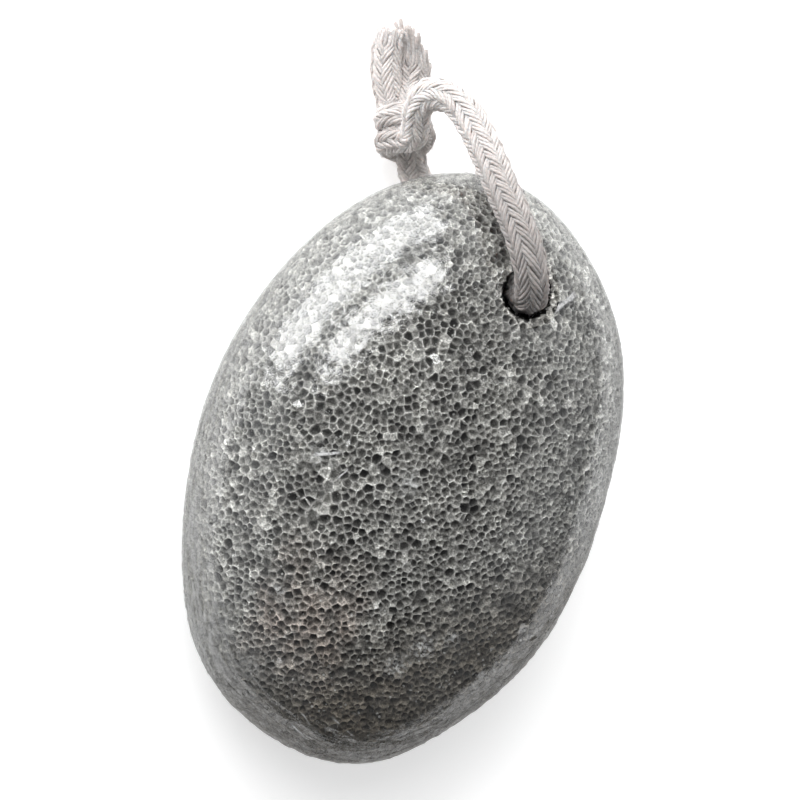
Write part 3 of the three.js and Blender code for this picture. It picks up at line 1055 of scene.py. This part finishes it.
    # loose fibres standing off it
    fuzz = 1150
    for _ in range(fuzz):
        s0 = rng.uniform(0.3, L - 0.3)
        if rng.random() < 0.12:
            s0 = rng.choice([rng.uniform(0, 4), rng.uniform(L - 8, L - 3)])
        th = rng.uniform(0, 2 * math.pi)
        n = 5
        u = np.linspace(0, 1, n)
        reach = rng.uniform(0.15, 0.75) if rng.random() < 0.85 else rng.uniform(0.7, 1.2)
        ss = s0 + u * rng.normal(0, 1.6)
        tt = th + u * rng.normal(0, 0.45)
        c, t, a, b, R = line.at(ss)
        out = np.cos(tt)[:, None] * a + np.sin(tt)[:, None] * b
        p = c + out * (R - 0.45 + (reach + 0.35) * np.sin(u * rng.uniform(1.2, 2.9)))[:, None]
        p += rng.normal(0, 0.05, (n, 3))
        low = p[:, 2] < 0.12
        p[low, 2] = 0.12
        v, f, ph = tube_rings(p, np.linspace(0.030, 0.016, n), 3)
        V.append(v)
        F += [[x + base for x in q] for q in f]
        base += len(v)
        along.append(np.zeros(len(v)))
        turn.append(ph)
        under.append(np.zeros(len(v)))
        tint.append(np.full(len(v), 0.5))
        light_and_dust.append(np.full(len(v), np.interp(s0, CORD_LIGHT_AND_DUST[0], CORD_LIGHT_AND_DUST[1])))
    return (np.vstack(V), F) + tuple(np.concatenate(x) for x in (along, turn, under, tint, light_and_dust))


LINE = Line(ROUTE)


def build_cord():
    rng = np.random.default_rng(SEED + 7)
    v, f, along, turn, under, tint, light_and_dust = braid(LINE, rng)
    o = mesh_object("cord_braid", v * MM, f)
    attribute(o, "along", along)
    attribute(o, "turn_c", np.cos(turn))
    attribute(o, "turn_s", np.sin(turn))
    attribute(o, "under", under)
    attribute(o, "tint", tint)
    attribute(o, "light_and_dust", light_and_dust)
    say("cord", len(v), "tris", sum(len(q.vertices) - 2 for q in o.data.polygons), "length", round(LINE.length, 2))
    return o


def cord_material():
    m = Nodes("cotton_cord")
    a = m.math("MULTIPLY", m.attr("along"), 2 * math.pi / 0.85)
    wave = m.math("ADD", m.math("MULTIPLY", m.math("SINE", a), m.attr("turn_c")),
                  m.math("MULTIPLY", m.math("COSINE", a), m.attr("turn_s")))
    lint = m.noise(5200, 3, 0.6)
    soft = m.noise(420, 2, 0.5)
    # darker where a yarn runs under its neighbours and on the heart of the cord: painted shade in the braid's grooves
    col = m.ramp(m.range(m.attr("under"), 0.0, 1.0, 0, 1),
                 (0.0, (0.800, 0.746, 0.724)), (0.55, (0.750, 0.695, 0.672)), (1.0, (0.630, 0.576, 0.554)))
    k = m.math("MULTIPLY", m.range(lint, 0.3, 0.7, 0.86, 1.10), m.range(soft, 0.3, 0.7, 0.93, 1.05))
    k = m.math("MULTIPLY", k, m.range(wave, -1, 1, 0.91, 1.05))
    k = m.math("MULTIPLY", k, m.range(m.attr("tint"), -4, 2, 0.74, 1.08))
    # painted light and shade along the cord, with some dust near the stone
    k = m.math("MULTIPLY", k, m.attr("light_and_dust"))
    col = m.mix(1.0, col, k, "MULTIPLY")
    b = m.add("ShaderNodeBsdfPrincipled")
    m.tree.links.new(col, b.inputs["Base Color"])
    b.inputs["Roughness"].default_value = 0.9
    b.inputs["Specular IOR Level"].default_value = 0.2
    b.inputs["Subsurface Weight"].default_value = 0.5
    b.inputs["Subsurface Radius"].default_value = (1.0, 0.8, 0.7)
    b.inputs["Subsurface Scale"].default_value = 0.0005
    b.inputs["Sheen Weight"].default_value = 0.35
    b.inputs["Sheen Roughness"].default_value = 0.4
    n = m.bump(wave, 0.35, 0.00006)
    n = m.bump(lint, 0.5, 0.00006, n)
    m.tree.links.new(n, b.inputs["Normal"])
    m.tree.links.new(b.outputs[0], m.out.inputs["Surface"])
    return m.mat


CORD = build_cord()
CORD.data.materials.append(cord_material())


# ------------------------------------------------------------------ the view
def aim(o, towards):
    o.rotation_euler = Vector(towards).to_track_quat("-Z", "Y").to_euler()


def stage_and_camera():
    sc = bpy.context.scene
    tilt = math.radians(15)
    back = Vector((-math.sin(tilt), 0, math.cos(tilt)))
    right = Vector((0.90848, 0.33971, 0.24343)).normalized()
    up = back.cross(right)
    look = Vector((0, 0, 19.6)) + right * ((400 - 403.5) / 6.2) + up * ((467.5 - 400) / 6.2)
    cam = bpy.data.objects.new("camera", bpy.data.cameras.new("camera"))
    sc.collection.objects.link(cam)
    cam.data.sensor_width = 36
    cam.data.lens = 36 * 450 / (800 / 6.2)
    cam.data.clip_start = 0.01
    cam.data.clip_end = 20
    where = (look + back * 450) * MM
    cam.matrix_world = Matrix((
        (right.x, up.x, back.x, where.x), (right.y, up.y, back.y, where.y), (right.z, up.z, back.z, where.z), (0, 0, 0, 1)))
    sc.camera = cam

    me = bpy.data.meshes.new("floor")
    me.from_pydata([(-3, -3, 0), (3, -3, 0), (3, 3, 0), (-3, 3, 0)], [], [(0, 1, 2, 3)])
    floor = bpy.data.objects.new("floor", me)
    sc.collection.objects.link(floor)
    mat = bpy.data.materials.new("floor")
    mat.use_nodes = True
    b = mat.node_tree.nodes["Principled BSDF"]
    b.inputs["Base Color"].default_value = (0.93, 0.93, 0.93, 1)
    b.inputs["Roughness"].default_value = 0.9
    b.inputs["Specular IOR Level"].default_value = 0.1
    b.inputs["Emission Color"].default_value = (1, 1, 1, 1)
    # the floor glows a little so it reads white, less in an ellipse round the stone's footprint: a painted contact
    # shadow there
    nt = mat.node_tree
    where = nt.nodes.new("ShaderNodeTexCoord")
    flat = nt.nodes.new("ShaderNodeVectorMath")
    flat.operation = "MULTIPLY"
    flat.inputs[1].default_value = (1 / 0.0331, 1 / 0.0488, 0)
    nt.links.new(where.outputs["Object"], flat.inputs[0])
    far = nt.nodes.new("ShaderNodeVectorMath")
    far.operation = "LENGTH"
    nt.links.new(flat.outputs[0], far.inputs[0])
    glow = nt.nodes.new("ShaderNodeMapRange")
    glow.interpolation_type = "SMOOTHSTEP"
    for k, v in (("From Min", 0.55), ("From Max", 1.20), ("To Min", 0.05), ("To Max", 0.54)):
        glow.inputs[k].default_value = v
    nt.links.new(far.outputs["Value"], glow.inputs["Value"])
    nt.links.new(glow.outputs["Result"], b.inputs["Emission Strength"])
    me.materials.append(mat)

    world = bpy.data.worlds.new("studio")
    world.use_nodes = True
    # a pale room, darker overhead and towards the stone's broad end
    wt = world.node_tree
    bg = wt.nodes["Background"]
    co = wt.nodes.new("ShaderNodeTexCoord")
    sep = wt.nodes.new("ShaderNodeSeparateXYZ")
    ramp = wt.nodes.new("ShaderNodeValToRGB")
    wt.links.new(co.outputs["Generated"], sep.inputs[0])
    wt.links.new(sep.outputs[2], ramp.inputs[0])
    wt.links.new(ramp.outputs[0], bg.inputs["Color"])
    e = ramp.color_ramp.elements
    e[0].position, e[0].color = 0.50, (0.97, 0.985, 1.0, 1)
    e[1].position, e[1].color = 0.84, (0.15, 0.15, 0.155, 1)
    dot = wt.nodes.new("ShaderNodeVectorMath")
    dot.operation = "DOT_PRODUCT"
    dot.inputs[1].default_value = (-0.42, 0.91, 0.0)
    wt.links.new(co.outputs["Generated"], dot.inputs[0])
    side = wt.nodes.new("ShaderNodeMapRange")
    for k, v in (("From Min", -1.0), ("From Max", 1.0), ("To Min", 0.10), ("To Max", 0.70)):
        side.inputs[k].default_value = v
    wt.links.new(dot.outputs["Value"], side.inputs["Value"])
    wt.links.new(side.outputs["Result"], bg.inputs["Strength"])
    sc.world = world

    def lamp(name, az, el, dist, wide, high, power, mirrored=True):
        d = Vector((math.cos(math.radians(az)) * math.cos(math.radians(el)),
                    math.sin(math.radians(az)) * math.cos(math.radians(el)), math.sin(math.radians(el))))
        l = bpy.data.lights.new(name, "AREA")
        l.shape = "RECTANGLE"
        l.size, l.size_y = wide, high
        l.energy = power
        o = bpy.data.objects.new(name, l)
        sc.collection.objects.link(o)
        o.location = Vector((-0.015, 0.015, 0.03)) + d * dist
        q = (-d).to_track_quat("-Z", "Y")
        o.rotation_euler = q.to_euler()
        o.visible_glossy = mirrored
        return o

    lamp("window_low", 139, 17.5, 1.2, 1.45, 0.67, 9.5)
    lamp("window_high", 131, 50, 1.2, 0.90, 0.31, 3.4)
    lamp("wall", 92, 24, 1.7, 2.8, 1.2, 8.0, mirrored=False)
    lamp("sky", 118, 52, 1.8, 1.2, 1.2, 17.0, mirrored=False)
    sc.view_settings.view_transform = "Standard"
    sc.view_settings.look = "None"
    sc.view_settings.exposure = 0.0
    sc.view_settings.gamma = 1.0


stage_and_camera()

for o, node, slot in ((STONE, "stone", "stone"), (FILM, "shrink_film", "film"), (CORD, "cord", "cord")):
    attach(o, "root")
    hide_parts(node)
